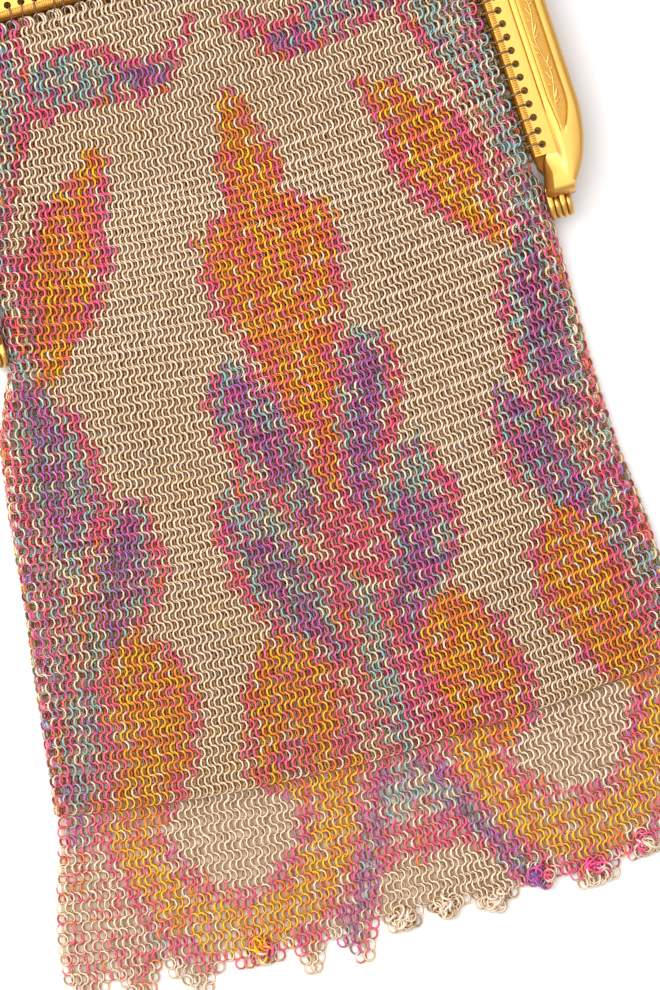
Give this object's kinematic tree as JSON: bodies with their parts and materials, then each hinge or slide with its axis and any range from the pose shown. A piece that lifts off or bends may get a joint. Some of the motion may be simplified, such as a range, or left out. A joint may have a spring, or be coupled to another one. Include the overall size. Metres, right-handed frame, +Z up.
{
  "type": "framed ring-mesh purse",
  "caption": "Flat evening purse of fine ring mesh on a hinged gold-tone frame with engraved arms, ending in a pointed single-layer skirt; lies on its back.",
  "frame": {"origin": "middle of the ground that the lying purse covers, at the height of the ground", "axes": "+Z up, out of the front face; +Y along the purse from the points of the skirt towards the top bar; +X to the right as seen from the front"},
  "size_m": [0.1316, 0.1992, 0.0102],
  "materials": {
    "frame_gold": "polished gold-tone plate, engraved",
    "hinge_brass": "worn brass",
    "painted_mesh": "thin soft-edged paint in cream, pink, orange, yellow, teal and purple over metal rings"
  },
  "bodies": {
    "root": {"frame_front": "frame_gold", "frame_back": "frame_gold", "hinge_pin_right": "hinge_brass", "hinge_pin_left": "hinge_brass", "clasp": "frame_gold", "mesh_bag": "painted_mesh", "mesh_skirt": "painted_mesh"}
  },
  "joints": []
}
